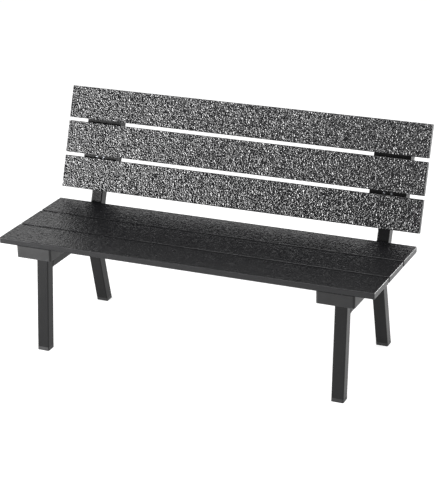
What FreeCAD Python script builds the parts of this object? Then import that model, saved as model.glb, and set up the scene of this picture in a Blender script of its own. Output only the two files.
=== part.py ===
import FreeCAD, Part
import os
import Sketcher

# A slatted street bench with a reclined back. Two welded tube frames (front leg, rear leg,
# rail and back post) carry wide boards, and the slats are screwed to those boards from
# behind. +X runs along the bench, +Y to the back, +Z up. The origin is on the floor, under
# the middle of the whole bench.
#
# The seat and the back are two panels of the same make. Each has a frame of its own:
# X along the bench, Y across the slats, and Z out of the faces that people touch, which
# lie at Z = 0. A panel's slats, boards and fasteners are drawn in that frame.

SIZES = (
    ("bench_length", 1500, "length of every slat"),
    ("seat_height", 460, "floor to the top of the seat's front edge"),
    ("seat_tilt", 1.5, "degrees that the seat falls towards the back"),
    ("seat_slat_width", 154, "across one seat slat"),
    ("seat_slat_gap", 8, "between seat slats"),
    ("slat_thick", 24, "all slats"),
    ("slat_edge_radius", 2, "rounding of every slat edge"),
    ("back_slat_width", 127, "across one back slat"),
    ("back_slat_gap", 13, "between back slats"),
    ("back_lean", 21.2, "degrees that the back leans from upright"),
    ("back_setback", 18, "seat's rear edge to the face of the back, level"),
    ("back_rise", 43, "seat's rear edge to the back's lower edge, upright"),
    ("board_width", 146, "seat bearers and back cleats, along the bench"),
    ("board_corner_radius", 8, "upright corners of bearers and cleats"),
    ("bearer_thick", 46, "seat bearers"),
    ("cleat_thick", 45, "back cleats"),
    ("cleat_inset", 8, "cleat's ends inside the back's upper and lower edges"),
    ("cleat_skin", 7, "cleat left in front of the post's groove"),
    ("end_overhang", 72, "slat ends past the bearers"),
    ("tube_width", 48, "legs, rails and posts, along the bench"),
    ("tube_depth", 42, "legs and posts, front to back"),
    ("tube_wall", 3, "wall of every tube"),
    ("tube_corner_radius", 4, "outer corners of every tube"),
    ("rail_depth", 65, "rail under the bearer, top to bottom"),
    ("front_leg_setback", 64, "bearer's front end to the top of the front leg"),
    ("front_splay", 6.8, "degrees that the front legs run forwards"),
    ("rear_splay", 11.5, "degrees that the rear legs run backwards"),
    ("foot_height", 14, "plastic foot below the tube's end"),
    ("plug_length", 20, "foot or cap inside its tube"),
    ("plug_clearance", 0.3, "all round a foot's or cap's plug"),
    ("post_cap_thick", 4, "cap on top of the post"),
    ("groove_clearance", 0.5, "each side of the post in its groove"),
    ("screw_diameter", 6, "slat screws"),
    ("screw_head_diameter", 12, "slat screws"),
    ("screw_head_height", 4, "slat screws"),
    ("screw_grip", 28, "board under each slat screw's washer"),
    ("screw_bite", 16, "slat screw inside the slat"),
    ("screw_clearance", 1, "board's hole over the screw's diameter"),
    ("pilot_clearance", 0.2, "threaded hole over the screw's diameter"),
    ("pilot_spare", 2, "threaded hole past the screw's point"),
    ("washer_diameter", 17, "under slat screws"),
    ("washer_thick", 1.5, "every washer"),
    ("recess_clearance", 3, "counterbore over its washer or head"),
    ("post_screw_spacing", 30, "between the two screws of a pair"),
    ("post_screw_head_diameter", 10.5, "screws that hold a cleat to its post"),
    ("post_screw_head_height", 3, "screws that hold a cleat to its post"),
    ("post_screw_recess", 3.2, "depth of the pocket for that head"),
    ("post_screw_length", 16, "under that head"),
    ("bolt_diameter", 10, "bolts through bearer and rail"),
    ("bolt_flats", 17, "across the bolt's head and nut"),
    ("bolt_head_height", 6.5, "bolts through bearer and rail"),
    ("bolt_recess", 12, "pocket for the bolt's head in the bearer's top"),
    ("bolt_washer_diameter", 22, "under bolt heads and nuts"),
    ("bolt_end", 4, "bolt past its nut"),
    ("nut_height", 8.5, "nuts on those bolts"),
    ("bolt_from_leg", 60, "bolt's centre from the leg beside it"),
)

# Places that follow from the sizes. "under" is the underside of the bearers, which slopes
# with the seat, and a leg's "rake" is its angle to a square line from it. "ahead" and
# "behind" are a leg's front and rear faces where they meet it, across the seat's own frame
# or, with _y and _z, in the bench's frame.
PLACES = (
    ("frame_centre", "Sizes.bench_length / 2 - Sizes.end_overhang - Sizes.board_width / 2"),
    ("tilt_sin", "sin(Sizes.seat_tilt * 1 deg)"),
    ("tilt_cos", "cos(Sizes.seat_tilt * 1 deg)"),
    ("lean_sin", "sin(Sizes.back_lean * 1 deg)"),
    ("lean_cos", "cos(Sizes.back_lean * 1 deg)"),
    ("front_tan", "tan(Sizes.front_splay * 1 deg)"),
    ("rear_tan", "tan(Sizes.rear_splay * 1 deg)"),
    ("seat_depth", "3 * Sizes.seat_slat_width + 2 * Sizes.seat_slat_gap"),
    ("back_height", "3 * Sizes.back_slat_width + 2 * Sizes.back_slat_gap"),
    ("seat_stack", "Sizes.slat_thick + Sizes.bearer_thick"),
    ("back_stack", "Sizes.slat_thick + Sizes.cleat_thick"),
    ("post_face", "Sizes.slat_thick + Sizes.cleat_skin"),
    ("post_rear", "post_face + Sizes.tube_depth"),
    ("post_top", "back_height - Sizes.cleat_inset - Sizes.post_cap_thick"),
    ("seat_run", "seat_depth * tilt_cos"),
    ("bearer_lead", "seat_stack * tilt_sin"),
    ("back_run", "(back_height - Sizes.cleat_inset) * lean_sin + post_rear * lean_cos"),
    ("overall_depth", "bearer_lead + seat_run + Sizes.back_setback + back_run"),
    ("front_y", "bearer_lead - overall_depth / 2"),
    ("back_y", "front_y + seat_run + Sizes.back_setback"),
    ("seat_rear_z", "Sizes.seat_height - seat_depth * tilt_sin"),
    ("back_z", "seat_rear_z + Sizes.back_rise"),
    ("front_rake", "Sizes.front_splay - Sizes.seat_tilt"),
    ("rear_rake", "Sizes.rear_splay + Sizes.seat_tilt"),
    ("front_behind", "Sizes.front_leg_setback + Sizes.tube_depth / cos(front_rake * 1 deg)"),
    ("rear_ahead", "seat_depth - Sizes.tube_depth / cos(rear_rake * 1 deg)"),
    ("rail_front", "front_behind - Sizes.rail_depth * tan(front_rake * 1 deg)"),
    ("rail_rear", "rear_ahead + Sizes.rail_depth * tan(rear_rake * 1 deg)"),
    ("rail_under", "seat_stack + Sizes.rail_depth"),
    ("under_y", "front_y - bearer_lead"),
    ("under_z", "Sizes.seat_height - seat_stack * tilt_cos"),
    ("front_ahead_y", "under_y + Sizes.front_leg_setback * tilt_cos"),
    ("front_ahead_z", "under_z - Sizes.front_leg_setback * tilt_sin"),
    ("front_behind_y", "under_y + front_behind * tilt_cos"),
    ("front_behind_z", "under_z - front_behind * tilt_sin"),
    ("rear_ahead_y", "under_y + rear_ahead * tilt_cos"),
    ("rear_ahead_z", "under_z - rear_ahead * tilt_sin"),
    ("rear_behind_y", "under_y + seat_depth * tilt_cos"),
    ("rear_behind_z", "under_z - seat_depth * tilt_sin"),
    ("mitre_angle", "Sizes.back_lean + Sizes.rear_splay"),
    ("mitre_sin", "sin(mitre_angle * 1 deg)"),
    ("mitre_cos", "cos(mitre_angle * 1 deg)"),
    ("leg_to_back_y", "(rear_behind_y - back_y) * cos(Sizes.rear_splay * 1 deg)"),
    ("leg_to_back_z", "(rear_behind_z - back_z) * sin(Sizes.rear_splay * 1 deg)"),
    ("post_foot_face", "(leg_to_back_y + leg_to_back_z - post_face * mitre_cos) / mitre_sin"),
    ("post_foot_rear", "(leg_to_back_y + leg_to_back_z - post_rear * mitre_cos) / mitre_sin"),
    ("screw_offset", "(Sizes.board_width + Sizes.tube_width) / 4"),
    ("screw_length", "Sizes.washer_thick + Sizes.screw_grip + Sizes.screw_bite"),
    ("screw_seat", "Sizes.slat_thick + Sizes.screw_grip"),
    ("seat_pitch", "Sizes.seat_slat_width + Sizes.seat_slat_gap"),
    ("back_pitch", "Sizes.back_slat_width + Sizes.back_slat_gap"),
    ("lower_pair", "back_pitch - Sizes.back_slat_gap / 2"),
    ("upper_pair", "2 * back_pitch + Sizes.back_slat_width / 2"),
    ("bolt_front", "front_behind + Sizes.bolt_from_leg"),
    ("bolt_rear", "rear_ahead - Sizes.bolt_from_leg"),
    ("bolt_seat", "Sizes.slat_thick + Sizes.bolt_recess"),
    ("bolt_face", "bolt_seat - Sizes.washer_thick"),
    ("nut_face", "rail_under + Sizes.washer_thick"),
    ("bolt_length", "nut_face + Sizes.nut_height + Sizes.bolt_end - bolt_face"),
)

SIDES = (("left", "-1"), ("right", "1"))

doc = FreeCAD.newDocument("bench")


def fill_sheet(name, rows):
    """A sheet of named values: what it is called, the value, and what it measures."""
    sheet = doc.addObject("Spreadsheet::Sheet", name)
    for line, row in enumerate(rows, start=1):
        sheet.set(f"A{line}", row[0])
        sheet.set(f"B{line}", str(row[1]))
        sheet.setAlias(f"B{line}", row[0])
        sheet.set(f"C{line}", row[2])
    return sheet


fill_sheet("Sizes", SIZES)
fill_sheet("Places", [(name, "=" + formula, "worked out") for name, formula in PLACES])
doc.recompute()

SEAT = {
    "place": "vector(0; Places.front_y; Sizes.seat_height)",
    "turn": "-Sizes.seat_tilt",
    "width": "Sizes.seat_slat_width",
    "pitch": "Places.seat_pitch",
    "board": "Sizes.bearer_thick",
    "stack": "Places.seat_stack",
}
BACK = {
    "place": "vector(0; Places.back_y; Places.back_z)",
    "turn": "(90 - Sizes.back_lean)",
    "width": "Sizes.back_slat_width",
    "pitch": "Places.back_pitch",
    "board": "Sizes.cleat_thick",
    "stack": "Places.back_stack",
}
LEVEL = {"place": "vector(0; 0; 0)", "turn": "0"}


def new_body(label, frame, side="0"):
    """An empty body in one of the frames, on the left, in the middle or on the right."""
    body = doc.addObject("PartDesign::Body", label)
    body.Label = label
    along = f"vector({side} * Places.frame_centre; 0; 0)"
    turn = f"rotation(vector(1; 0; 0); {frame['turn']} * 1 deg)"
    body.setExpression("Placement", f"placement({frame['place']} + {along}; {turn})")
    return body


def origin_part(body, role):
    """One of the body's own origin planes or axes."""
    return next(part for part in body.Origin.OriginFeatures if part.Role == role)


def new_sketch(body, name, plane, offset=None):
    """A sketch on an origin plane, moved by (across, up, out) expressions."""
    sketch = body.newObject("Sketcher::SketchObject", f"{body.Name}_{name}")
    sketch.AttachmentSupport = [(origin_part(body, plane), "")]
    sketch.MapMode = "FlatFace"
    if offset:
        sketch.setExpression("AttachmentOffset.Base", "vector({}; {}; {})".format(*offset))
    return sketch


def pin(sketch, element, point, across, up):
    """Hold one point of a sketch at two distances from the sketch's origin."""
    for kind, distance in (("DistanceX", across), ("DistanceY", up)):
        value = float(sketch.evalExpression(distance))
        index = sketch.addConstraint(Sketcher.Constraint(kind, -1, 1, element, point, value))
        sketch.setExpression(f"Constraints[{index}]", distance)


def outline(body, name, plane, corners, offset=None):
    """A closed outline of straight lines through corners given as (across, up)."""
    sketch = new_sketch(body, name, plane, offset)
    points = []
    for across, up in corners:
        point = [float(sketch.evalExpression(distance)) for distance in (across, up)]
        points.append(FreeCAD.Vector(point[0], point[1], 0))
    count = len(points)
    for index in range(count):
        end = points[(index + 1) % count]
        sketch.addGeometry(Part.LineSegment(points[index], end), False)
    for index in range(count):
        following = (index + 1) % count
        sketch.addConstraint(Sketcher.Constraint("Coincident", index, 2, following, 1))
    for index, (across, up) in enumerate(corners):
        pin(sketch, index, 1, across, up)
    return sketch


def rectangle(body, name, low, high):
    """An upright rectangle in the side view, from its low to its high corner."""
    corners = (low, (high[0], low[1]), high, (low[0], high[1]))
    return outline(body, name, "YZ_Plane", corners)


def circles(body, name, plane, centres, diameter, offset=None):
    """Circles of one diameter at the given centres."""
    sketch = new_sketch(body, name, plane, offset)
    radius = float(sketch.evalExpression(diameter)) / 2
    for index, (across, up) in enumerate(centres):
        place = [float(sketch.evalExpression(distance)) for distance in (across, up)]
        centre = FreeCAD.Vector(place[0], place[1], 0)
        normal = FreeCAD.Vector(0, 0, 1)
        sketch.addGeometry(Part.Circle(centre, normal, radius), False)
        size = sketch.addConstraint(Sketcher.Constraint("Diameter", index, 2 * radius))
        sketch.setExpression(f"Constraints[{size}]", diameter)
        pin(sketch, index, 3, across, up)
    return sketch


def extrude(body, kind, name, sketch, length, centred=True, reverse=False):
    """A Pad or Pocket of a sketch, checked to have changed the body's volume."""
    before = body.Shape.Volume if body.Tip else 0
    feature = body.newObject(f"PartDesign::{kind}", f"{body.Name}_{name}")
    feature.Profile = sketch
    feature.Midplane = centred
    feature.Reversed = reverse
    feature.setExpression("Length", length)
    doc.recompute()
    if abs(body.Shape.Volume - before) < 1:
        raise RuntimeError(f"{feature.Name} changed nothing")
    return feature


def round_edges(body, name, radius, chosen):
    """Round the straight edges that the chosen rule picks by their direction."""
    base = body.Tip
    names = []
    for index, edge in enumerate(body.Shape.Edges, start=1):
        line = edge.Vertexes[-1].Point - edge.Vertexes[0].Point
        line = body.Placement.inverse().Rotation.multVec(line)
        if line.Length > 0 and chosen(line.normalize()):
            names.append(f"Edge{index}")
    fillet = body.newObject("PartDesign::Fillet", f"{body.Name}_{name}")
    fillet.Base = (base, names)
    fillet.setExpression("Radius", radius)
    body.Tip = fillet
    doc.recompute()
    return fillet


def repeat(body, features, steps):
    """Copies of the features in a grid: each step is an axis, a distance and a count."""
    multi = body.newObject("PartDesign::MultiTransform", f"{body.Name}_grid")
    rows = []
    for index, (axis, distance, count) in enumerate(steps):
        row = body.newObject("PartDesign::LinearPattern", f"{body.Name}_row_{index}")
        row.Direction = (origin_part(body, axis), [""])
        row.setExpression("Length", distance)
        row.Occurrences = count
        rows.append(row)
    multi.Originals = features
    multi.Transformations = rows
    body.Tip = multi
    doc.recompute()
    return multi


def make_slat(label, panel, index):
    """One slat, with threaded holes in its hidden face over both boards."""
    body = new_body(label, panel)
    low = f"{index} * {panel['pitch']}"
    high = f"{low} + {panel['width']}"
    section = rectangle(body, "section", (low, "-Sizes.slat_thick"), (high, "0"))
    extrude(body, "Pad", "plank", section, "Sizes.bench_length")
    round_edges(body, "edges", "Sizes.slat_edge_radius", lambda line: True)
    centres = []
    for _, side in SIDES:
        for _, flank in SIDES:
            across = f"{side} * Places.frame_centre + {flank} * Places.screw_offset"
            centres.append((across, f"{low} + {panel['width']} / 2"))
    bore = "Sizes.screw_diameter + Sizes.pilot_clearance"
    under = ("0", "0", "-Sizes.slat_thick")
    holes = circles(body, "pilots", "XY_Plane", centres, bore, under)
    depth = "Sizes.screw_bite + Sizes.pilot_spare"
    extrude(body, "Pocket", "pilot_holes", holes, depth, centred=False, reverse=True)
    return body


def board_screw_centres(panel):
    """Two screws for each slat, one each side of the tube that carries the board."""
    rows = [f"{index} * {panel['pitch']} + {panel['width']} / 2" for index in range(3)]
    return [(f"{side} * Places.screw_offset", row) for row in rows for _, side in SIDES]


def drill_board(body, panel):
    """The slat screws' holes through a board, and their counterbores from behind."""
    centres = board_screw_centres(panel)
    behind = ("0", "0", f"-{panel['stack']}")
    through = "Sizes.screw_diameter + Sizes.screw_clearance"
    holes = circles(body, "screw_circles", "XY_Plane", centres, through, behind)
    extrude(body, "Pocket", "screw_holes", holes, panel["board"], centred=False, reverse=True)
    wide = "Sizes.washer_diameter + Sizes.recess_clearance"
    bores = circles(body, "counterbore_circles", "XY_Plane", centres, wide, behind)
    depth = f"{panel['board']} - Sizes.screw_grip"
    extrude(body, "Pocket", "counterbores", bores, depth, centred=False, reverse=True)


def upright_in_panel(line):
    """An edge that runs through a board's thickness."""
    return abs(line.z) > 0.99


def bolt_centres():
    """The two bolts that hold a bearer to its rail."""
    return [("0", "Places.bolt_front"), ("0", "Places.bolt_rear")]


def make_bearer(name, side):
    """A wide block under the seat slats, with pockets for the bolts to its rail."""
    body = new_body(f"seat_bearer_{name}", SEAT, side)
    low = ("0", "-Places.seat_stack")
    section = rectangle(body, "section", low, ("Places.seat_depth", "-Sizes.slat_thick"))
    extrude(body, "Pad", "block", section, "Sizes.board_width")
    round_edges(body, "corners", "Sizes.board_corner_radius", upright_in_panel)
    drill_board(body, SEAT)
    centres = bolt_centres()
    top = ("0", "0", "-Sizes.slat_thick")
    through = "Sizes.bolt_diameter + Sizes.screw_clearance"
    holes = circles(body, "bolt_circles", "XY_Plane", centres, through, top)
    extrude(body, "Pocket", "bolt_holes", holes, "Sizes.bearer_thick", centred=False)
    wide = "Sizes.bolt_washer_diameter + Sizes.recess_clearance"
    bores = circles(body, "bolt_recess_circles", "XY_Plane", centres, wide, top)
    extrude(body, "Pocket", "bolt_recesses", bores, "Sizes.bolt_recess", centred=False)
    return body


def post_screw_centres():
    """Two pairs of screws: one shows between the lower slats, one is behind the top slat."""
    rows = ("Places.lower_pair", "Places.upper_pair")
    return [(f"{side} * Sizes.post_screw_spacing / 2", row) for row in rows for _, side in SIDES]


def make_cleat(name, side):
    """A wide block behind the back slats, grooved down its rear face for the post."""
    body = new_body(f"back_cleat_{name}", BACK, side)
    low = ("Sizes.cleat_inset", "-Places.back_stack")
    high = ("Places.back_height - Sizes.cleat_inset", "-Sizes.slat_thick")
    section = rectangle(body, "section", low, high)
    extrude(body, "Pad", "block", section, "Sizes.board_width")
    round_edges(body, "corners", "Sizes.board_corner_radius", upright_in_panel)
    high = ("Places.back_height", "-Places.post_face")
    channel = rectangle(body, "groove_section", ("0", "-Places.post_rear"), high)
    width = "Sizes.tube_width + 2 * Sizes.groove_clearance"
    extrude(body, "Pocket", "groove", channel, width)
    drill_board(body, BACK)
    face = ("0", "0", "-Sizes.slat_thick")
    centres = post_screw_centres()
    through = "Sizes.screw_diameter + Sizes.screw_clearance"
    holes = circles(body, "post_circles", "XY_Plane", centres, through, face)
    extrude(body, "Pocket", "post_holes", holes, "Sizes.cleat_skin", centred=False)
    wide = "Sizes.post_screw_head_diameter + Sizes.pilot_clearance"
    bores = circles(body, "post_recess_circles", "XY_Plane", centres, wide, face)
    extrude(body, "Pocket", "post_recesses", bores, "Sizes.post_screw_recess", centred=False)
    return body


def make_tube(body, outer, inner, along):
    """A tube whose side view is outer, hollow over inner, with its long edges rounded."""
    profile = outline(body, "profile", "YZ_Plane", outer)
    extrude(body, "Pad", "tube", profile, "Sizes.tube_width")
    axis = FreeCAD.Vector(*along).normalize()
    round_edges(body, "corners", "Sizes.tube_corner_radius", lambda line: abs(line.dot(axis)) > 0.999)
    hollow = outline(body, "hollow", "YZ_Plane", inner)
    extrude(body, "Pocket", "bore", hollow, "Sizes.tube_width - 2 * Sizes.tube_wall")
    return body


def leg_run(at, slope, level):
    """Where a leg's face, which passes through at, crosses a level."""
    return f"{at[0]} + ({at[1]} - ({level})) * {slope}"


def leg_faces(position):
    """A leg's slope in the side view, its two faces at the top, and its level depth."""
    if position == "front":
        slope = "(0 - Places.front_tan)"
        ahead = ("Places.front_ahead_y", "Places.front_ahead_z")
        behind = ("Places.front_behind_y", "Places.front_behind_z")
        return slope, ahead, behind, "Sizes.front_splay"
    ahead = ("Places.rear_ahead_y", "Places.rear_ahead_z")
    behind = ("Places.rear_behind_y", "Places.rear_behind_z")
    return "Places.rear_tan", ahead, behind, "Sizes.rear_splay"


def make_leg(position, name, side):
    """A tube from its foot up to the underside of the bearer."""
    body = new_body(f"{position}_leg_{name}", LEVEL, side)
    slope, ahead, behind, splay = leg_faces(position)
    floor = "Sizes.foot_height"
    feet = (leg_run(behind, slope, floor), floor), (leg_run(ahead, slope, floor), floor)
    wall = f"Sizes.tube_wall / cos({splay} * 1 deg)"
    above = "Sizes.seat_height"
    inner = []
    for face, inset in ((ahead, wall), (behind, f"(0 - {wall})")):
        inner.append([(f"{leg_run(face, slope, level)} + {inset}", level) for level in (above, "0")])
    hollow = (inner[0][0], inner[1][0], inner[1][1], inner[0][1])
    lean = body.evalExpression(slope)
    return make_tube(body, (ahead, behind) + feet, hollow, (0, -float(lean), 1))


def make_foot(position, name, side):
    """A plastic foot: a block that carries on the tube's outside, and a plug inside it."""
    body = new_body(f"foot_{position}_{name}", LEVEL, side)
    slope, ahead, behind, splay = leg_faces(position)
    top = "Sizes.foot_height"
    corners = []
    for face, levels in ((ahead, ("0", top)), (behind, (top, "0"))):
        corners += [(leg_run(face, slope, level), level) for level in levels]
    block = outline(body, "block_profile", "YZ_Plane", corners)
    extrude(body, "Pad", "block", block, "Sizes.tube_width")
    lean = float(body.evalExpression(slope))
    axis = FreeCAD.Vector(0, -lean, 1).normalize()
    round_edges(body, "corners", "Sizes.tube_corner_radius", lambda line: abs(line.dot(axis)) > 0.999)
    inset = f"(Sizes.tube_wall + Sizes.plug_clearance) / cos({splay} * 1 deg)"
    reach = "Sizes.foot_height + Sizes.plug_length"
    corners = []
    for face, levels, move in ((ahead, (top, reach), inset), (behind, (reach, top), f"(0 - {inset})")):
        corners += [(f"{leg_run(face, slope, level)} + {move}", level) for level in levels]
    plug = outline(body, "plug_profile", "YZ_Plane", corners)
    width = "Sizes.tube_width - 2 * (Sizes.tube_wall + Sizes.plug_clearance)"
    extrude(body, "Pad", "plug", plug, width)
    return body


def make_rail(name, side):
    """The tube under the bearer that joins the two legs."""
    body = new_body(f"frame_rail_{name}", SEAT, side)
    top = "-Places.seat_stack"
    under = "-Places.rail_under"
    outer = (
        ("Places.front_behind", top),
        ("Places.rear_ahead", top),
        ("Places.rail_rear", under),
        ("Places.rail_front", under),
    )
    roof = f"{top} - Sizes.tube_wall"
    floor = f"{under} + Sizes.tube_wall"
    ends = ("Sizes.front_leg_setback", "Places.seat_depth")
    inner = ((ends[0], roof), (ends[1], roof), (ends[1], floor), (ends[0], floor))
    make_tube(body, outer, inner, (0, 1, 0))
    through = "Sizes.bolt_diameter + Sizes.screw_clearance"
    holes = circles(body, "bolt_circles", "XY_Plane", bolt_centres(), through, ("0", "0", top))
    extrude(body, "Pocket", "bolt_holes", holes, "Sizes.rail_depth", centred=False)
    return body


def make_post(name, side):
    """The tube that carries the cleat; its foot is mitred to the rear leg's rear face."""
    body = new_body(f"back_post_{name}", BACK, side)
    face = "-Places.post_face"
    rear = "-Places.post_rear"
    outer = (
        ("Places.post_top", face),
        ("Places.post_top", rear),
        ("Places.post_foot_rear", rear),
        ("Places.post_foot_face", face),
    )
    inner_face = "-(Places.post_face + Sizes.tube_wall)"
    inner_rear = "-(Places.post_rear - Sizes.tube_wall)"
    beyond = "Places.post_foot_rear - Sizes.tube_depth"
    top = "Places.post_top + Sizes.tube_wall"
    inner = ((top, inner_face), (top, inner_rear), (beyond, inner_rear), (beyond, inner_face))
    make_tube(body, outer, inner, (0, 1, 0))
    bore = "Sizes.screw_diameter + Sizes.pilot_clearance"
    start = ("0", "0", face)
    holes = circles(body, "screw_circles", "XY_Plane", post_screw_centres(), bore, start)
    extrude(body, "Pocket", "screw_holes", holes, "2 * Sizes.tube_wall", centred=False)
    return body


def make_post_cap(name, side):
    """A plastic cap on the post's top, with a plug inside the tube."""
    body = new_body(f"post_cap_{name}", BACK, side)
    low = ("Places.post_top", "-Places.post_rear")
    high = ("Places.post_top + Sizes.post_cap_thick", "-Places.post_face")
    block = rectangle(body, "block_profile", low, high)
    extrude(body, "Pad", "block", block, "Sizes.tube_width")
    round_edges(body, "corners", "Sizes.tube_corner_radius", lambda line: abs(line.y) > 0.99)
    inset = "(Sizes.tube_wall + Sizes.plug_clearance)"
    low = ("Places.post_top - Sizes.plug_length", f"-Places.post_rear + {inset}")
    high = ("Places.post_top", f"-Places.post_face - {inset}")
    plug = rectangle(body, "plug_profile", low, high)
    extrude(body, "Pad", "plug", plug, f"Sizes.tube_width - 2 * {inset}")
    return body


def disc(body, kind, name, centre, diameter, level, thickness, up=True):
    """A round Pad, or a round Pocket, that starts at a level and goes up or down."""
    sketch = circles(body, f"{name}_circle", "XY_Plane", [centre], diameter, ("0", "0", level))
    reverse = up == (kind == "Pocket")
    return extrude(body, kind, name, sketch, thickness, centred=False, reverse=reverse)


def hexagon(body, name, centre, level, thickness, up):
    """A six-sided Pad as wide across its flats as a bolt's head."""
    corners = []
    for turn in range(30, 390, 60):
        arm = "Sizes.bolt_flats / 2 / cos(30 deg)"
        across = f"{centre[0]} + {arm} * cos({turn} deg)"
        corners.append((across, f"{centre[1]} + {arm} * sin({turn} deg)"))
    sketch = outline(body, f"{name}_outline", "XY_Plane", corners, ("0", "0", level))
    return extrude(body, "Pad", name, sketch, thickness, centred=False, reverse=not up)


def slat_grid(panel):
    """Slat fasteners: two flanks, two frames and three slats."""
    return (
        ("X_Axis", "2 * Places.screw_offset", 2),
        ("X_Axis", "2 * Places.frame_centre", 2),
        ("Y_Axis", f"2 * {panel['pitch']}", 3),
    )


def make_slat_screws(label, panel):
    """Round-headed screws, driven from behind the boards into the slats."""
    body = new_body(label, panel)
    centre = ("-(Places.frame_centre + Places.screw_offset)", f"{panel['width']} / 2")
    level = "-(Places.screw_seat + Sizes.washer_thick)"
    head = disc(body, "Pad", "head", centre, "Sizes.screw_head_diameter", level,
                "Sizes.screw_head_height", up=False)
    shank = disc(body, "Pad", "shank", centre, "Sizes.screw_diameter", level, "Places.screw_length")
    repeat(body, [head, shank], slat_grid(panel))


def make_slat_washers(label, panel):
    """A washer under each slat screw's head."""
    body = new_body(label, panel)
    centre = ("-(Places.frame_centre + Places.screw_offset)", f"{panel['width']} / 2")
    features = washer(body, "washer", centre, "Sizes.washer_diameter", "Sizes.screw_diameter",
                      "-Places.screw_seat", up=False)
    repeat(body, features, slat_grid(panel))


def washer(body, name, centre, outer, shank, level, up):
    """A disc and the hole that its screw passes through."""
    plate = disc(body, "Pad", name, centre, outer, level, "Sizes.washer_thick", up)
    bore = f"{shank} + Sizes.pilot_clearance"
    hole = disc(body, "Pocket", f"{name}_hole", centre, bore, level, "Sizes.washer_thick", up)
    return [plate, hole]


def make_post_screws():
    """Flat-headed screws that hold the cleats to the posts, sunk in the cleats' faces."""
    body = new_body("cleat_post_screws", BACK)
    across = "-(Places.frame_centre + Sizes.post_screw_spacing / 2)"
    centre = (across, "Places.lower_pair")
    level = "-(Sizes.slat_thick + Sizes.post_screw_recess)"
    head = disc(body, "Pad", "head", centre, "Sizes.post_screw_head_diameter", level,
                "Sizes.post_screw_head_height")
    shank = disc(body, "Pad", "shank", centre, "Sizes.screw_diameter", level,
                 "Sizes.post_screw_length", up=False)
    steps = (
        ("X_Axis", "Sizes.post_screw_spacing", 2),
        ("X_Axis", "2 * Places.frame_centre", 2),
        ("Y_Axis", "Places.upper_pair - Places.lower_pair", 2),
    )
    repeat(body, [head, shank], steps)


BOLT_CENTRE = ("-Places.frame_centre", "Places.bolt_front")
BOLT_GRID = (
    ("X_Axis", "2 * Places.frame_centre", 2),
    ("Y_Axis", "Places.bolt_rear - Places.bolt_front", 2),
)


def make_bolts():
    """Hexagon bolts, down through each bearer and its rail."""
    body = new_body("frame_bolts", SEAT)
    level = "-Places.bolt_face"
    head = hexagon(body, "head", BOLT_CENTRE, level, "Sizes.bolt_head_height", up=True)
    shank = disc(body, "Pad", "shank", BOLT_CENTRE, "Sizes.bolt_diameter", level,
                 "Places.bolt_length", up=False)
    repeat(body, [head, shank], BOLT_GRID)


def make_bolt_washers():
    """A washer under each bolt's head and one above each nut."""
    body = new_body("frame_bolt_washers", SEAT)
    upper = washer(body, "upper", BOLT_CENTRE, "Sizes.bolt_washer_diameter",
                   "Sizes.bolt_diameter", "-Places.bolt_seat", up=True)
    lower = washer(body, "lower", BOLT_CENTRE, "Sizes.bolt_washer_diameter",
                   "Sizes.bolt_diameter", "-Places.rail_under", up=False)
    repeat(body, upper + lower, BOLT_GRID)


def make_nuts():
    """Nuts under the rails."""
    body = new_body("frame_bolt_nuts", SEAT)
    level = "-Places.nut_face"
    block = hexagon(body, "block", BOLT_CENTRE, level, "Sizes.nut_height", up=False)
    bore = "Sizes.bolt_diameter + Sizes.pilot_clearance"
    hole = disc(body, "Pocket", "hole", BOLT_CENTRE, bore, level, "Sizes.nut_height", up=False)
    repeat(body, [block, hole], BOLT_GRID)


def finish_and_write():
    """Check every object, then write one file for each body."""
    doc.recompute()
    for item in doc.Objects:
        if "Invalid" in item.State or "Error" in item.State:
            raise RuntimeError(f"{item.Name} failed: {item.State}")
    os.makedirs("parts", exist_ok=True)
    for item in doc.Objects:
        if item.TypeId != "PartDesign::Body":
            continue
        shape = item.Shape
        if shape.isNull() or not shape.isValid():
            raise RuntimeError(f"{item.Label} has no valid shape")
        shape.exportStep(f"parts/{item.Label}.step")
        box = shape.BoundBox
        print(f"{item.Label:24s} {len(shape.Solids):3d} solids {shape.Volume / 1000:10.2f} cm3"
              f"  {box.XLength:8.1f} {box.YLength:8.1f} {box.ZLength:8.1f}")


for index, level in enumerate(("front", "middle", "rear")):
    make_slat(f"seat_slat_{level}", SEAT, index)
for index, level in enumerate(("bottom", "middle", "top")):
    make_slat(f"back_slat_{level}", BACK, index)
for name, side in SIDES:
    make_bearer(name, side)
    make_cleat(name, side)
    make_rail(name, side)
    make_post(name, side)
    make_post_cap(name, side)
    for position in ("front", "rear"):
        make_leg(position, name, side)
        make_foot(position, name, side)
for label, panel in (("seat", SEAT), ("back", BACK)):
    make_slat_screws(f"{label}_slat_screws", panel)
    make_slat_washers(f"{label}_slat_washers", panel)
make_post_screws()
make_bolts()
make_bolt_washers()
make_nuts()
finish_and_write()
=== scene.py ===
# %% [markdown]
# # A park bench with a backrest
#
# The bench is six pebbled slats on four plastic boards and two welded steel frames. They all come from
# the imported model, in metres, and this file gives them their finishes. It makes again what the packed
# model keeps plain, the slats with their pebbles and the screws with their round heads, and it adds the
# weld beads.

# %% Load the frame
from math import cos, pi, radians, sin

import bpy
from mathutils import Matrix, Vector
from mathutils.geometry import convex_hull_2d


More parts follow.
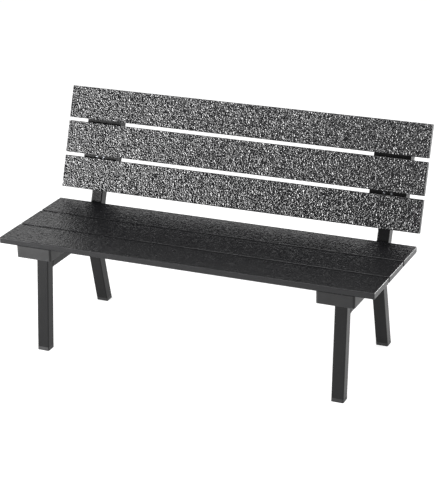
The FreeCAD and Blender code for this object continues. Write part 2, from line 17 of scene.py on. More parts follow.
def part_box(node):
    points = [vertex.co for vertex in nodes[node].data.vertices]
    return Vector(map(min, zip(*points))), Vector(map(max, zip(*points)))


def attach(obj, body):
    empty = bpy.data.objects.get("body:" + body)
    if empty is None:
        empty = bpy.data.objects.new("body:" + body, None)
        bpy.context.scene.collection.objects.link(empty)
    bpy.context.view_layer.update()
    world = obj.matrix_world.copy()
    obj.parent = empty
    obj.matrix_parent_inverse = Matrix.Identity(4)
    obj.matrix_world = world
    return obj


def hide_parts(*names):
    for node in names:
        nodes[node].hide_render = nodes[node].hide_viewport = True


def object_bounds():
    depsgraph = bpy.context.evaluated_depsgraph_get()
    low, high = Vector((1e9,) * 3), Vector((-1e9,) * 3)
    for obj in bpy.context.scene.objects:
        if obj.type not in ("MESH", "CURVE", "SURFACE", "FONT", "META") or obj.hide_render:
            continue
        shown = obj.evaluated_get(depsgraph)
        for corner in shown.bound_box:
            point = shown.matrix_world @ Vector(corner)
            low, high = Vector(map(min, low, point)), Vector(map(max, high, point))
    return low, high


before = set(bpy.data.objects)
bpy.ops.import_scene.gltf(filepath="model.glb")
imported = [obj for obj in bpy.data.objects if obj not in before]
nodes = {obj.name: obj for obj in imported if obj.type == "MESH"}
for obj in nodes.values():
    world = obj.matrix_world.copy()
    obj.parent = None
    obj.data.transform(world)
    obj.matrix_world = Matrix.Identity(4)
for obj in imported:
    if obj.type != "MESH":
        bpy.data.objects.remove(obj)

MM = 0.001
cad_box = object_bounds()
print("the frame has", len(nodes), "nodes, and its box is", cad_box)

# %% [markdown]
# ## Two small tools
#
# Colours are easiest to pick as sRGB hex values, as in a paint chart, while a shader works in linear
# light, so one function turns the first into the second. Node trees are long to write out, so another
# function adds one node with its settings and its links, whatever kind of node it is.

# %% Colours and nodes


def paint(code):
    """A linear colour with alpha from an sRGB hex value."""
    parts = [int(code[i : i + 2], 16) / 255 for i in (1, 3, 5)]
    return [c / 12.92 if c <= 0.04045 else ((c + 0.055) / 1.055) ** 2.4 for c in parts] + [1.0]


def add(tree, kind, inputs=None, **settings):
    """Adds one node. Settings are its own properties; inputs are values, or the sockets that feed it."""
    made = tree.nodes.new(kind)
    for name, value in settings.items():
        setattr(made, name, value)
    for socket, value in (inputs or {}).items():
        if isinstance(value, bpy.types.NodeSocket):
            tree.links.new(value, made.inputs[socket])
        else:
            made.inputs[socket].default_value = value
    return made


print("a black plastic in linear light:", [round(c, 4) for c in paint("#0c0c0e")])

# %% [markdown]
# ## Finishes
#
# Everything here is black, so what tells the parts apart is how each one shines. A finish is two close
# blacks mixed by a soft noise, a roughness that varies with another noise, and a bump for the grain of
# the surface. The scale of each noise is one over a size in metres, because Object coordinates are in
# metres.

# %% A finish from a few numbers
# a noise is nearly always between these two values
NOISE_SPAN = {"From Min": 0.3, "From Max": 0.7}


def surface(
    name, dark, light, cloud, rough, patch, grain, grain_depth, metallic=0.0, ior=1.5, detail=2.0, mask=None
):
    """A material with clouds of two colours, patches of roughness between two values, and a bumped grain.

    The sizes of the clouds, the patches and the grain are in mm. A mask is the name of an attribute of the
    piece: the grain is only where it is 1.
    """
    material = bpy.data.materials.new(name)
    material.use_nodes = True
    tree = material.node_tree
    tree.nodes.clear()
    where = add(tree, "ShaderNodeTexCoord").outputs["Object"]
    clouds = add(tree, "ShaderNodeTexNoise", {"Vector": where, "Scale": 1 / (cloud * MM), "Detail": 4.0})
    mixed = {"Factor": clouds.outputs["Fac"], "A": paint(dark), "B": paint(light)}
    colour = add(tree, "ShaderNodeMix", mixed, data_type="RGBA")
    patches = add(tree, "ShaderNodeTexNoise", {"Vector": where, "Scale": 1 / (patch * MM), "Detail": 3.0})
    roughness = add(
        tree,
        "ShaderNodeMapRange",
        {"Value": patches.outputs["Fac"], **NOISE_SPAN, "To Min": rough[0], "To Max": rough[1]},
    )
    speckle = add(tree, "ShaderNodeTexNoise", {"Vector": where, "Scale": 1 / (grain * MM), "Detail": detail})
    strength = add(tree, "ShaderNodeAttribute", attribute_name=mask).outputs["Fac"] if mask else 1.0
    bump = add(
        tree,
        "ShaderNodeBump",
        {"Height": speckle.outputs["Fac"], "Distance": grain_depth * MM, "Strength": strength},
    )
    shader = add(
        tree,
        "ShaderNodeBsdfPrincipled",
        {
            "Base Color": colour.outputs["Result"],
            "Roughness": roughness.outputs[0],
            "Normal": bump.outputs[0],
            "Metallic": metallic,
            "IOR": ior,
        },
    )
    add(tree, "ShaderNodeOutputMaterial", {"Surface": shader.outputs[0]})
    return material


print("noises are read between", NOISE_SPAN["From Min"], "and", NOISE_SPAN["From Max"])

# %% [markdown]
# Slats, boards and cleats are one plastic, polyethylene, and differ in how their surface was made, while the
# cleats also get a darker colour and a weaker shine as painted shade. As it comes out of a pebbled mould it
# is waxy and semi-gloss, and a plane or years of sitting make it duller.
# The slats' grain of a millimetre or two can't be seen from a few metres away, so it is drawn about three
# times as coarse.

# %% The plastics
# Moulded polyethylene, black through: semi-gloss, so its pebbles glint.
slat_plastic = surface(
    "moulded_black_polyethylene",
    dark="#0c0c0e",
    light="#121214",
    cloud=70,
    rough=(0.09, 0.16),
    patch=25,
    grain=4.9,
    grain_depth=2.8,
    detail=0.0,
    mask="pebbled",
)
# The seat's slats are scuffed by use: their shine is broader and paler, and their grain is worn down.
seat_plastic = surface(
    "scuffed_black_polyethylene",
    dark="#0f0f11",
    light="#151517",
    cloud=70,
    rough=(0.19, 0.28),
    patch=25,
    grain=4.9,
    grain_depth=2.0,
    detail=0.0,
    mask="pebbled",
)
# The boards are the same plastic, planed smooth after moulding, with a faint grain and a duller shine.
board_plastic = surface(
    "planed_black_polyethylene",
    dark="#0c0c0d",
    light="#121213",
    cloud=60,
    rough=(0.38, 0.48),
    patch=30,
    grain=3,
    grain_depth=0.06,
)
# The cleats behind the backrest are the boards' plastic with the smooth skin of the mould. Their blacks,
# darker than the boards', and their low IOR are painted shade, standing in for the shadow in the narrow gaps
# between the slats.
shaded_cleat_plastic = surface(
    "black_polyethylene_painted_shade",
    dark="#060607",
    light="#09090a",
    cloud=60,
    rough=(0.28, 0.36),
    patch=30,
    grain=3,
    grain_depth=0.04,
    # the low IOR dims the shine: painted shade
    ior=1.3,
)
# The foot plugs are soft moulded plastic, duller than the coat of the tubes above them.
foot_plastic = surface(
    "black_foot_plastic",
    dark="#141415",
    light="#1c1c1d",
    cloud=30,
    rough=(0.5, 0.62),
    patch=15,
    grain=2.5,
    grain_depth=0.06,
)
plastics = (slat_plastic, seat_plastic, board_plastic, shaded_cleat_plastic, foot_plastic)
print("plastics:", [plastic.name for plastic in plastics])

# %% [markdown]
# The steel of the two frames is under a baked powder coat, which flows into a smooth film with a slight
# orange peel. The screws, washers and bolts are plated with zinc, and nothing covers them.

# %% The metals
# Baked powder coat on steel: its orange peel is about a millimetre, and is drawn at 4 mm so that it shows.
powder_coat = surface(
    "black_powder_coat",
    dark="#0a0a0b",
    light="#0e0e0f",
    cloud=90,
    rough=(0.15, 0.2),
    patch=40,
    grain=4,
    grain_depth=0.05,
    ior=1.42,
)
# Zinc-plated steel: pale, a little blue, with a brushed unevenness.
zinc_steel = surface(
    "zinc_plated_steel",
    dark="#85888c",
    light="#a3a6aa",
    cloud=6,
    rough=(0.3, 0.5),
    patch=4,
    grain=1.5,
    grain_depth=0.03,
    metallic=1.0,
)
print("metals:", powder_coat.name, "and", zinc_steel.name)

# %% [markdown]
# The boards, tubes, caps, feet, washers and bolts keep the shape that they were packed with. Their nodes
# are named for what they are, so a word in the name picks the finish, and no list of every piece is
# needed.

# %% Finishes for the pieces that stay
FINISHES = {
    "seat_bearer": board_plastic,
    "back_cleat": shaded_cleat_plastic,
    "frame_rail": powder_coat,
    "back_post": powder_coat,
    "post_cap": powder_coat,
    "front_leg": powder_coat,
    "rear_leg": powder_coat,
    "foot_": foot_plastic,
    "washers": zinc_steel,
    "bolt": zinc_steel,
}
for name, piece in nodes.items():
    finish = next((m for word, m in FINISHES.items() if word in name), None)
    if finish is None:
        continue
    piece.data.materials.clear()
    piece.data.materials.append(finish)
print("still to make:", [n for n in nodes if not any(word in n for word in FINISHES)])

# %% [markdown]
# ## Trees of Geometry Nodes
#
# Slats, screws and weld beads all follow rules, so Geometry Nodes make them. Their trees begin and end
# alike: named inputs at one end, and at the other the copies made real, because an export drops mere
# instances, and dressed in a material. A tree only says how; a modifier with that tree runs it. Its
# inputs are set by their identifiers before it is first evaluated, and the result is copied out as a
# plain mesh, so that nothing live is left.

# %% Start, end and run a tree


def start_tree(name, sockets):
    """A tree with a Geometry input and output, a Finish, and the sockets that are given."""
    tree = bpy.data.node_groups.new(name, "GeometryNodeTree")
    tree.interface.new_socket("Geometry", in_out="INPUT", socket_type="NodeSocketGeometry")
    for socket, kind in sockets.items():
        tree.interface.new_socket(socket, in_out="INPUT", socket_type="NodeSocket" + kind)
    tree.interface.new_socket("Finish", in_out="INPUT", socket_type="NodeSocketMaterial")
    tree.interface.new_socket("Geometry", in_out="OUTPUT", socket_type="NodeSocketGeometry")
    return tree, add(tree, "NodeGroupInput").outputs


def finish_tree(tree, shapes, finish, smooth):
    """Ends a tree: its copies become real, and get their shading and their material."""
    real = add(tree, "GeometryNodeRealizeInstances", {"Geometry": shapes})
    shaded = add(tree, "GeometryNodeSetShadeSmooth", {"Geometry": real.outputs[0], "Shade Smooth": smooth})
    dressed = add(tree, "GeometryNodeSetMaterial", {"Geometry": shaded.outputs[0], "Material": finish})
    add(tree, "NodeGroupOutput", {"Geometry": dressed.outputs[0]})
    print(tree.name, "has", len(tree.nodes), "nodes")


def grow(tree, name, values, points=(), edges=()):
    """The plain mesh that a tree makes from points and these inputs, as an object at the origin."""
    holder = bpy.data.objects.new(name, bpy.data.meshes.new(name + "_start"))
    holder.data.from_pydata(points, edges, [])
    bpy.context.scene.collection.objects.link(holder)
    modifier = holder.modifiers.new("shape", "NODES")
    modifier.node_group = tree
    known = {item.name: item.identifier for item in tree.interface.items_tree if item.in_out == "INPUT"}
    for key, value in values.items():
        modifier[known[key]] = value
    evaluated = holder.evaluated_get(bpy.context.evaluated_depsgraph_get())
    mesh = bpy.data.meshes.new_from_object(evaluated)
    holder.modifiers.clear()
    holder.data = mesh
    mesh.name = name
    return holder


# %% [markdown]
# ## Pebbled slats
#
# The slats are moulded planks with softly rounded edges. Their edges are smooth, and their broad faces
# are covered with shallow pebbles, about 9 mm along the slat and 7 mm across it. A bump map could draw
# the pebbles, but a low sun would show a flat plank, so they are real geometry. The first half of the
# tree makes the plank: a box of small squares, whose vertices are pulled in until each one is an edge
# radius from the plank's core.

# %% A plank with round edges
SLAT_SIZES = {
    "Length": cad_box[1][0] - cad_box[0][0],
    "Thickness": 24 * MM,
    "Edge Radius": 2 * MM,
    "Square": 2.6 * MM,
    "Pebble": 8.8 * MM,
    "Depth": 2.3 * MM,
}


def plank(tree, given):
    """The box of a plank, the place of each vertex once its edges are round, and the outward direction."""
    sides = {"X": given["Length"], "Y": given["Width"], "Z": given["Thickness"]}
    size = add(tree, "ShaderNodeCombineXYZ", sides).outputs[0]
    counts = [
        add(tree, "ShaderNodeMath", {0: given[side], 1: given["Square"]}, operation="DIVIDE").outputs[0]
        for side in ("Length", "Width", "Thickness")
    ]
    box = add(
        tree,
        "GeometryNodeMeshCube",
        {"Size": size, "Vertices X": counts[0], "Vertices Y": counts[1], "Vertices Z": counts[2]},
    )
    place = add(tree, "GeometryNodeInputPosition").outputs[0]
    half = add(tree, "ShaderNodeVectorMath", {0: size, "Scale": 0.5}, operation="SCALE").outputs[0]
    radius = add(tree, "ShaderNodeCombineXYZ", dict.fromkeys("XYZ", given["Edge Radius"])).outputs[0]
    core = add(tree, "ShaderNodeVectorMath", {0: half, 1: radius}, operation="SUBTRACT").outputs[0]
    core_below = add(tree, "ShaderNodeVectorMath", {0: core, "Scale": -1.0}, operation="SCALE").outputs[0]
    capped = add(tree, "ShaderNodeVectorMath", {0: place, 1: core}, operation="MINIMUM").outputs[0]
    inner = add(tree, "ShaderNodeVectorMath", {0: capped, 1: core_below}, operation="MAXIMUM").outputs[0]
    away = add(tree, "ShaderNodeVectorMath", {0: place, 1: inner}, operation="SUBTRACT").outputs[0]
    outward = add(tree, "ShaderNodeVectorMath", {0: away}, operation="NORMALIZE").outputs[0]
    reach = add(tree, "ShaderNodeVectorMath", {0: outward, "Scale": given["Edge Radius"]}, operation="SCALE")
    rounded = add(tree, "ShaderNodeVectorMath", {0: inner, 1: reach.outputs[0]}, operation="ADD").outputs[0]
    return box.outputs["Mesh"], rounded, outward


print("a plank's sizes in mm:", {name: round(size / MM, 1) for name, size in SLAT_SIZES.items()})

# %% [markdown]
# Pebbles crowd together as bubbles do, which is what a Voronoi pattern draws. Each cell is a pebble,
# highest at its middle and low where two cells meet. Real ones are not so regular, so a noise bends the
# pattern and another one roughens it. The result says how far each place is pressed in, from 0 to 1.

# %% Pebbles
BENDS_PER_METRE = 90.0
SWING = 12 * MM
RIPPLES_PER_METRE = 200.0
# the pattern is squeezed across the slat, so that a pebble is a third longer than it is wide
SQUAT = (1.0, 1.33, 1.0)
# from the middle of a cell to where it meets the next one, in cells
CROWN, VALLEY = 0.1, 0.75
# how much of the depth comes from the cells, and how much from the roughening
CELL_SHARE, RIPPLE_SHARE = 0.7, 0.3


def pebbles(tree, given, place):
    """How far each place on a plank is pressed in between the pebbles, from 0 to 1."""
    bend = add(
        tree,
        "ShaderNodeTexNoise",
        {"Vector": place, "W": given["Seed"], "Scale": BENDS_PER_METRE, "Detail": 2.0},
        noise_dimensions="4D",
    )
    centred = add(
        tree, "ShaderNodeVectorMath", {0: bend.outputs["Color"], 1: (0.5, 0.5, 0.5)}, operation="SUBTRACT"
    )
    swing = add(tree, "ShaderNodeVectorMath", {0: centred.outputs[0], "Scale": SWING}, operation="SCALE")
    bent = add(tree, "ShaderNodeVectorMath", {0: place, 1: swing.outputs[0]}, operation="ADD").outputs[0]
    per_metre = add(tree, "ShaderNodeMath", {0: 1.0, 1: given["Pebble"]}, operation="DIVIDE").outputs[0]
    squat = add(tree, "ShaderNodeVectorMath", {0: bent, 1: SQUAT}, operation="MULTIPLY").outputs[0]
    shifted = add(tree, "ShaderNodeVectorMath", {0: squat, 1: given["Seed"]}, operation="ADD").outputs[0]
    cells = add(
        tree,
        "ShaderNodeTexVoronoi",
        {"Vector": shifted, "Scale": per_metre, "Smoothness": 0.25},
        feature="SMOOTH_F1",
    )
    ripple = add(
        tree,
        "ShaderNodeTexNoise",
        {"Vector": bent, "W": given["Seed"], "Scale": RIPPLES_PER_METRE, "Detail": 2.0},
        noise_dimensions="4D",
    )
    hollow = add(
        tree,
        "ShaderNodeMapRange",
        {
            "Value": cells.outputs["Distance"],
            "From Min": CROWN,
            "From Max": VALLEY,
            "To Min": 0.0,
            "To Max": CELL_SHARE,
        },
    )
    uneven = add(
        tree,
        "ShaderNodeMapRange",
        {"Value": ripple.outputs["Fac"], **NOISE_SPAN, "To Min": 0.0, "To Max": RIPPLE_SHARE},
    )
    both = add(tree, "ShaderNodeMath", {0: hollow.outputs[0], 1: uneven.outputs[0]}, operation="ADD")
    return both.outputs[0]


print("the deepest valleys between the pebbles are", round(SLAT_SIZES["Depth"] / MM, 1), "mm deep")

# %% [markdown]
# The whole tree joins the two halves. Pressing goes inwards only, which keeps every slat inside the size
# of the real one, and it is held to the broad faces, where the outward direction is along Z. The same
# mark is stored as an attribute, so that the finish can keep its fine grain off the edges too.

# %% The slat tree
# a direction's height at which a face starts to count as broad, on its way up to 1
NEARLY_UP = 0.8

slat_tree, given = start_tree("pebbled_slat", dict.fromkeys([*SLAT_SIZES, "Width", "Seed"], "Float"))
plank_box, rounded, outward = plank(slat_tree, given)
pressed = pebbles(slat_tree, given, rounded)
upright = add(slat_tree, "ShaderNodeSeparateXYZ", {0: outward}).outputs["Z"]
steep = add(slat_tree, "ShaderNodeMath", {0: upright}, operation="ABSOLUTE").outputs[0]
mark = add(slat_tree, "ShaderNodeMapRange", {"Value": steep, "From Min": NEARLY_UP, "From Max": 1.0})
broad = mark.outputs[0]
shallow = add(slat_tree, "ShaderNodeMath", {0: given["Depth"], 1: broad}, operation="MULTIPLY").outputs[0]
inwards = add(slat_tree, "ShaderNodeMath", {0: shallow, 1: pressed}, operation="MULTIPLY").outputs[0]
below = add(slat_tree, "ShaderNodeMath", {0: inwards, 1: -1.0}, operation="MULTIPLY").outputs[0]
dent = add(slat_tree, "ShaderNodeVectorMath", {0: outward, "Scale": below}, operation="SCALE").outputs[0]
marked = add(
    slat_tree,
    "GeometryNodeStoreNamedAttribute",
    {"Geometry": plank_box, "Name": "pebbled", "Value": broad},
    data_type="FLOAT",
    domain="POINT",
)
shaped = add(
    slat_tree,
    "GeometryNodeSetPosition",
    {"Geometry": marked.outputs[0], "Position": rounded, "Offset": dent},
)
finish_tree(slat_tree, shaped.outputs[0], given["Finish"], True)

# %% [markdown]
# The seat rises by 1.5 degrees to the front and the backrest leans by 21.2 from the upright. Each panel
# has its own corner, found from the box of its first slat: the corner's height and depth come from the
# box, less what the thickness of the leaning slat adds to it.

# %% Where the panels are
# widths and gaps in mm
PANELS = {
    "seat": {
        "slats": ("front", "middle", "rear"),
        "lean": -1.5,
        "width": 154,
        "gap": 8,
        "seed": 3.0,
        "finish": seat_plastic,
    },
    "back": {
        "slats": ("bottom", "middle", "top"),
        "lean": 68.8,
        "width": 127,
        "gap": 13,
        "seed": 43.0,
        "finish": slat_plastic,
    },
}


def panel_axes(first_slat, lean, width):
    """The axes of a panel: X along the slats, Y across them from the corner, Z out of their faces."""
    low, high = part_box(first_slat)
    turn = Matrix.Rotation(radians(lean), 4, "X")
    thickness, radius = SLAT_SIZES["Thickness"], SLAT_SIZES["Edge Radius"]
    # the centres of the slat's round edges, turned, tell how far its box reaches from the panel's corner
    across, down = (radius, width - radius), (-radius, radius - thickness)
    centres = [turn @ Vector((0, y, z)) for y in across for z in down]
    corner = Vector(
        (
            (low.x + high.x) / 2,
            low.y - min(v.y for v in centres) + radius,
            high.z - max(v.z for v in centres) - radius,
        )
    )
    return Matrix.Translation(corner) @ turn


for panel, facts in PANELS.items():
    facts["axes"] = panel_axes(f"{panel}_slat_{facts['slats'][0]}", facts["lean"], facts["width"] * MM)
    print("the", panel, "starts at", [round(c, 4) for c in facts["axes"].translation])

# %% [markdown]
# From its corner, a panel's slats follow at one pitch each. Every slat has a seed of its own, so that no
# two show the same pebbles, and its own place in its mesh, because the pieces of a bench share one
# origin.

# %% Make the slats
SEED_STEP = 7.0

for panel, facts in PANELS.items():
    for i, which in enumerate(facts["slats"]):
        name = f"{panel}_slat_{which}"
        values = {
            **SLAT_SIZES,
            "Width": facts["width"] * MM,
            "Seed": facts["seed"] + SEED_STEP * i,
            "Finish": facts["finish"],
        }
        slat = grow(slat_tree, name + "_pebbled", values)
        across = (facts["width"] * (i + 0.5) + facts["gap"] * i) * MM
        middle = Vector((0, across, -SLAT_SIZES["Thickness"] / 2))
        slat.data.transform(facts["axes"] @ Matrix.Translation(middle))
        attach(slat, "root")
        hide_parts(name)
        print(slat.name, "has", len(slat.data.polygons), "faces")

# %% [markdown]
# ## Screws
#
# A round-headed screw is a lathe-turned head with a six-sided socket pressed in its top, on a plain shank
# here, because its thread is buried. A lathe is a loop: each ring of the shape has a width and a height,
# and only the socket's rings follow a hexagon.

# %% One screw
SIDES = 24
# the flat ring around the socket, as a part of the socket's width
FLAT_RING = 1.35
# where the dome starts, as a part of the head's width, and how high its rim is, as a part of its height
DOME_START, DOME_RIM = 0.62, 0.3


def hexagon(flats, angle):
    """How far the edge of a hexagon is from its centre, at an angle in degrees."""
    return flats / 2 / cos(radians((angle + 30) % 60 - 30))


def screw_rings(head, height, shank, length, flats, depth):
    """The rings of a screw from its socket to its tip: how wide, how high, and whether it is six-sided."""
    rings = [(flats, height - depth, True), (flats, height, True), (flats * FLAT_RING, height, False)]
    for degrees in (20, 45, 70, 90):
        wide = head * (DOME_START + (1 - DOME_START) * sin(radians(degrees)))
        high = height * (DOME_RIM + (1 - DOME_RIM) * cos(radians(degrees)))
        rings.append((wide, high, False))
    return rings + [(head, 0.0, False), (shank, 0.0, False), (shank, -length, False)]


def draw_screw(name, rings):
    """A screw along Z with the underside of its head at the origin, as an object that trees can copy."""
    corners = [(0.0, 0.0, rings[0][1])]
    for across, level, six_sided in rings:
        for step in range(SIDES):
            angle = 360 * step / SIDES
            out = hexagon(across, angle) if six_sided else across / 2
            corners.append((out * cos(radians(angle)), out * sin(radians(angle)), level))
    corners.append((0.0, 0.0, rings[-1][1]))
    last = len(corners) - 1
    rim = last - SIDES
    faces = []
    for step in range(SIDES):
        beside = (step + 1) % SIDES
        faces.append((0, 1 + step, 1 + beside))
        for ring in range(len(rings) - 1):
            here, next_ring = 1 + ring * SIDES, 1 + (ring + 1) * SIDES
            faces.append((here + step, next_ring + step, next_ring + beside, here + beside))
        faces.append((last, rim + beside, rim + step))
    mesh = bpy.data.meshes.new(name)
    mesh.from_pydata(corners, [], faces)
    screw = bpy.data.objects.new(name, mesh)
    bpy.context.scene.collection.objects.link(screw)
    return screw


print("a screw is turned in", SIDES, "steps")

# %% [markdown]
# The screws of a bench repeat, so one of each sort is drawn and Geometry Nodes put a copy on each point,
# turned by a random angle, as a hex key leaves them.

# %% The screw tree
screw_tree, given = start_tree("screws_on_points", {"Screw": "Object", "Seed": "Int"})
shape = add(screw_tree, "GeometryNodeObjectInfo", {"Object": given["Screw"]}).outputs["Geometry"]
angle = add(screw_tree, "FunctionNodeRandomValue", {"Max": 2 * pi, "Seed": given["Seed"]}, data_type="FLOAT")
spin = add(screw_tree, "ShaderNodeCombineXYZ", {"Z": angle.outputs["Value"]})
copies = add(
    screw_tree,
    "GeometryNodeInstanceOnPoints",
    {"Points": given["Geometry"], "Instance": shape, "Rotation": spin.outputs[0]},
)
finish_tree(screw_tree, copies.outputs[0], given["Finish"], False)

# %% [markdown]
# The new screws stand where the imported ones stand. A node of screws is one mesh of separate screws, so
# its vertices are sorted into one heap per screw, in axes whose Z points the way the heads look. Each
# heap gives its screw's middle, and all the screws of a node share the sizes of the first.

# %% Find the screws
# vertices nearer than this belong to one screw: a head is 12 mm wide, and its neighbour stands farther off
ONE_SCREW = 14 * MM


def screw_heaps(piece, look):
    """The vertices of a node of screws, in the axes of look, one list for each screw."""
    heaps = []
    to_look = look.inverted()
    for vertex in piece.data.vertices:
        spot = to_look @ vertex.co
        heap = next((h for h in heaps if (h[0] - spot).xy.length < ONE_SCREW), None)
        if heap is None:
            heaps.append([spot])
        else:
            heap.append(spot)
    return heaps


def middle_of(numbers):
    return (min(numbers) + max(numbers)) / 2


# the screws in the slats are driven from behind, so they look the other way
AROUND = Matrix.Rotation(pi, 4, "X")
SOCKET_FLATS = 4 * MM
SCREWS = {
    "seat_slat_screws": {"look": PANELS["seat"]["axes"] @ AROUND, "height": 4 * MM, "depth": 2.2 * MM},
    "back_slat_screws": {"look": PANELS["back"]["axes"] @ AROUND, "height": 4 * MM, "depth": 2.2 * MM},
    "cleat_post_screws": {"look": PANELS["back"]["axes"], "height": 3 * MM, "depth": 1.6 * MM},
}
for name, facts in SCREWS.items():
    facts["heaps"] = screw_heaps(nodes[name], facts["look"])
    print(name, "holds", len(facts["heaps"]), "screws")

# %% [markdown]
# A screw's head is the widest thing in its heap, and what lies under the head is the shank. With those
# sizes the new screw is drawn, copied to every point, and taken away again, because only its copies are
# wanted.

# %% Put the screws in
for seed, (name, facts) in enumerate(SCREWS.items()):
    heaps, height = facts["heaps"], facts["height"]
    points = [
        (middle_of([p.x for p in heap]), middle_of([p.y for p in heap]), max(p.z for p in heap) - height)
        for heap in heaps
    ]
    first, under_head = heaps[0], points[0][2]
    under = [p for p in first if p.z < under_head - MM]
    head = max(p.x for p in first) - min(p.x for p in first)
    shank = max(p.x for p in under) - min(p.x for p in under)
    length = under_head - min(p.z for p in first)
    screw = draw_screw("screw_shape", screw_rings(head, height, shank, length, SOCKET_FLATS, facts["depth"]))
    values = {"Screw": screw, "Seed": seed, "Finish": zinc_steel}
    row = grow(screw_tree, name + "_turned", values, points)
    row.data.transform(facts["look"])
    bpy.data.objects.remove(screw)
    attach(row, "root")
    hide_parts(name)
    print(row.name, "have heads", round(head / MM, 2), "mm across and shanks", round(shank / MM, 2))

# %% [markdown]
# ## Weld beads
#
# Each frame is welded before it is coated: the rail's ends to the two legs, and the foot of the post to
# the rear leg. A bead is a row of overlapping drops, so Geometry Nodes walk along the seam in even steps
# and leave a drop at each one, a little larger or smaller than the last.

# %% The bead tree
DROP_SPREAD = {"Min": 0.88, "Max": 1.1}

bead_tree, given = start_tree("weld_bead", {"Drop": "Float", "Pitch": "Float", "Seed": "Int"})
path = add(bead_tree, "GeometryNodeMeshToCurve", {"Mesh": given["Geometry"]}).outputs[0]
steps = add(bead_tree, "GeometryNodeResampleCurve", {"Curve": path, "Length": given["Pitch"]}, mode="LENGTH")
drop = add(bead_tree, "GeometryNodeMeshUVSphere", {"Segments": 8, "Rings": 5, "Radius": given["Drop"]})
swell = add(bead_tree, "FunctionNodeRandomValue", {**DROP_SPREAD, "Seed": given["Seed"]}, data_type="FLOAT")
drops = add(
    bead_tree,
    "GeometryNodeInstanceOnPoints",
    {"Points": steps.outputs[0], "Instance": drop.outputs["Mesh"], "Scale": swell.outputs["Value"]},
)
finish_tree(bead_tree, drops.outputs[0], given["Finish"], True)

# %% [markdown]
# A seam is the rim of a cut tube, found from the tube's flat end, which faces the leg: the outline around
# its corners is the path. The leg leans, so its own widest flat says which way that end faces.

# %% Find a seam
# how squarely a face has to look a way, from 0 to 1, for the sides of a leg and for the cut end of a tube
LEG_FLAT, CUT_END = 0.9, 0.999


def widest_flat(piece, side):
    """The direction of a tube's widest flat that faces behind (side 1) or ahead (side -1)."""
    flats = [p for p in piece.data.polygons if side * p.normal.y > LEG_FLAT]
    return max(flats, key=lambda p: p.area).normal.copy()


def rim_of(piece, facing):
    """The outline, in order, of the flat end of a tube that faces a direction."""
    mesh = piece.data
    ends = [p for p in mesh.polygons if p.normal.dot(facing) > CUT_END]
    corners = [mesh.vertices[i].co.copy() for p in ends for i in p.vertices]
    up = Vector((1, 0, 0)).cross(facing)
    outline = convex_hull_2d([Vector((c.x, c.dot(up))) for c in corners])
    return [corners[i] for i in outline]


def clear_stretch(rim, clear):
    """The part of a rim that is clear, in order, and whether that is all of it."""
    # the path starts after the stretch that is covered, or anywhere on a rim that is all clear
    start = next((i for i in range(len(rim)) if clear[i] and not clear[i - 1]), 0)
    order = [(start + i) % len(rim) for i in range(len(rim))]
    return [rim[i] for i in order if clear[i]], all(clear)


print("the left front leg's back looks", [round(c, 3) for c in widest_flat(nodes["front_leg_left"], 1)])

# %% [markdown]
# Under the bearer the tubes are ground flush, so a bead stops there. Each drop is sunk by nearly half of
# its radius into the tube, as molten steel is, and the path closes where the whole rim is clear.

# %% Lay the beads
DROP = 2.6 * MM
SUNK = 1.2 * MM
PITCH = 1.9 * MM
BEAD_SEED = 5

to_seat = PANELS["seat"]["axes"].inverted()
for side in ("left", "right"):
    rail, post = nodes["frame_rail_" + side], nodes["back_post_" + side]
    front, rear = nodes["front_leg_" + side], nodes["rear_leg_" + side]
    seams = [(rail, -widest_flat(front, 1)), (rail, -widest_flat(rear, -1)), (post, -widest_flat(rear, 1))]
    underside = min((to_seat @ v.co).z for v in nodes["seat_bearer_" + side].data.vertices)
    points, edges = [], []
    for tube, facing in seams:
        rim = rim_of(tube, facing)
        centre = sum(rim, Vector()) / len(rim)
        kept, closed = clear_stretch(rim, [(to_seat @ p).z < underside - MM or tube is post for p in rim])
        first = len(points)
        points += [tuple(p + (centre - p).normalized() * SUNK) for p in kept]
        edges += [(i, i + 1) for i in range(first, len(points) - 1)]
        if closed:
            edges.append((len(points) - 1, first))
    values = {"Drop": DROP, "Pitch": PITCH, "Seed": BEAD_SEED, "Finish": powder_coat}
    beads = grow(bead_tree, "weld_beads_" + side, values, points, edges)
    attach(beads, "root")
    print(beads.name, "has", len(points), "corners in its paths, and", len(beads.data.polygons), "faces")

# %% [markdown]
# ## Stage
#
# Black plastic shows what it reflects, so the room matters more than the lamps. The bench stands on a
# white light table. To the eye the table is plain white, but in the shine of the bench it is dim, so that
# the bench's own shade can be seen there; a Light Path node tells the two kinds of ray apart.

# %% Floor
FLOOR_TO_THE_EYE = 0.8
FLOOR_IN_THE_SHINE = 0.35
WHITE = (1.0, 1.0, 1.0, 1.0)

bpy.ops.mesh.primitive_plane_add(size=80)
floor = bpy.context.object
floor.name = "studio_floor"
floor.location.z = cad_box[0][2]
floor_paint = surface(
    "white_light_table",
    dark="#b4b4b4",
    light="#bababa",
    cloud=900,
    rough=(0.7, 0.8),
    patch=500,
    grain=40,
    grain_depth=0.05,
)
table = floor_paint.node_tree.nodes["Principled BSDF"]
table.inputs["Emission Color"].default_value = WHITE
eye_ray = add(floor_paint.node_tree, "ShaderNodeLightPath").outputs["Is Camera Ray"]
shine = add(
    floor_paint.node_tree,
    "ShaderNodeMapRange",
    {"Value": eye_ray, "To Min": FLOOR_IN_THE_SHINE, "To Max": FLOOR_TO_THE_EYE},
)
floor_paint.node_tree.links.new(shine.outputs[0], table.inputs["Emission Strength"])
floor.data.materials.append(floor_paint)
print("the floor is at", round(floor.location.z, 4), "m")

# %% [markdown]
# The room around is white too, but not evenly. It is bright behind the bench, dim in front, so that the
# faces that look forwards stay black, and dim overhead, where the seat would mirror it. The eye sees it
# white all round, as it does the table.

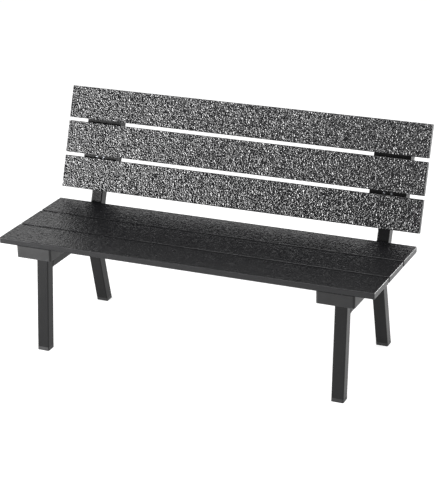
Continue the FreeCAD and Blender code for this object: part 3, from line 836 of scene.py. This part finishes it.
# %% Room
# the strengths of the room, and where each one fades into the next, in parts of a direction: y is 1
# straight behind the bench and -1 straight ahead of it, and z is 1 straight up
ROOM_AHEAD, ROOM_BEHIND = 0.25, 1.0
FADE_BACKWARDS = {"From Min": -0.5, "From Max": 0.3}
ROOM_AROUND, ROOM_OVERHEAD = 1.0, 0.15
FADE_UPWARDS = {"From Min": 0.52, "From Max": 0.78}

world = bpy.data.worlds.new("white_room")
bpy.context.scene.world = world
world.use_nodes = True
room = world.node_tree
room.nodes.clear()
ways = add(room, "ShaderNodeSeparateXYZ", {0: add(room, "ShaderNodeTexCoord").outputs["Generated"]}).outputs
behind = add(
    room,
    "ShaderNodeMapRange",
    {"Value": ways["Y"], **FADE_BACKWARDS, "To Min": ROOM_AHEAD, "To Max": ROOM_BEHIND},
).outputs[0]
overhead = add(
    room,
    "ShaderNodeMapRange",
    {"Value": ways["Z"], **FADE_UPWARDS, "To Min": ROOM_AROUND, "To Max": ROOM_OVERHEAD},
).outputs[0]
glow = add(room, "ShaderNodeMath", {0: behind, 1: overhead}, operation="MULTIPLY").outputs[0]
eye_ray = add(room, "ShaderNodeLightPath").outputs["Is Camera Ray"]
strength = add(room, "ShaderNodeMath", {0: glow, 1: eye_ray}, operation="MAXIMUM").outputs[0]
sky = add(room, "ShaderNodeBackground", {"Color": WHITE, "Strength": strength})
add(room, "ShaderNodeOutputWorld", {"Surface": sky.outputs[0]})
bpy.context.scene.view_settings.view_transform = "Standard"
print("the room has", len(room.nodes), "nodes")

# %% [markdown]
# Four soft panels do the rest. The key panel is low and far to the left, where the flat of the backrest
# doesn't mirror it to the camera, but one side of every pebble does. The high panel, ahead on the right,
# and the top panel are weak, and fill the faces that look forwards and up. The rear panel is low, behind
# on the right, and lights what looks there.

# %% Lamps


def soft_panel(name, place, aim, size, brightness):
    """A rectangular lamp at place that faces aim. The white room behind the bench has a brightness of 1."""
    width, height = size
    lamp = bpy.data.lights.new(name, "AREA")
    lamp.shape = "RECTANGLE"
    lamp.size, lamp.size_y = width, height
    lamp.energy = brightness * pi * width * height
    holder = bpy.data.objects.new(name, lamp)
    bpy.context.scene.collection.objects.link(holder)
    holder.location = place
    holder.rotation_euler = (Vector(aim) - Vector(place)).to_track_quat("-Z", "Y").to_euler()
    holder.visible_camera = False
    print(name, "shines with", round(lamp.energy), "watts")


soft_panel("key_panel", place=(-4.3, -3.6, 0.95), aim=(0.0, 0.2, 0.6), size=(2.4, 1.7), brightness=40.0)
soft_panel("high_panel", place=(1.3, -2.6, 2.8), aim=(0.4, 0.2, 0.6), size=(1.4, 1.0), brightness=3.0)
soft_panel("top_panel", place=(0.0, -0.9, 3.0), aim=(0.0, 0.0, 0.0), size=(3.0, 1.4), brightness=5.0)
soft_panel("rear_panel", place=(2.9, 3.0, 0.7), aim=(0.0, 0.2, 0.5), size=(1.4, 1.2), brightness=26.0)

# %% [markdown]
# The camera stands about six and a half metres off, a little to the right and above, with a long lens, so
# that the bench's far end is hardly smaller than its near one. It faces its aim, and is then rolled a
# little.

# %% Camera
AZIMUTH, ELEVATION, ROLL = radians(24.708), radians(22.824), radians(-1.876)
DISTANCE = 6.5303
SENSOR_WIDTH = 36
LENS = 124.44
aim = Vector((-0.0039, 0.0006, 0.384))
towards = Vector((sin(AZIMUTH) * cos(ELEVATION), -cos(AZIMUTH) * cos(ELEVATION), sin(ELEVATION)))
camera = bpy.data.objects.new("camera", bpy.data.cameras.new("camera"))
bpy.context.scene.collection.objects.link(camera)
camera.location = aim + towards * DISTANCE
level = (-towards).to_track_quat("-Z", "Y").to_matrix().to_4x4()
camera.rotation_euler = (level @ Matrix.Rotation(ROLL, 4, "Z")).to_euler()
camera.data.sensor_width = SENSOR_WIDTH
camera.data.lens = LENS
bpy.context.scene.camera = camera
print("the camera is at", [round(c, 3) for c in camera.location])
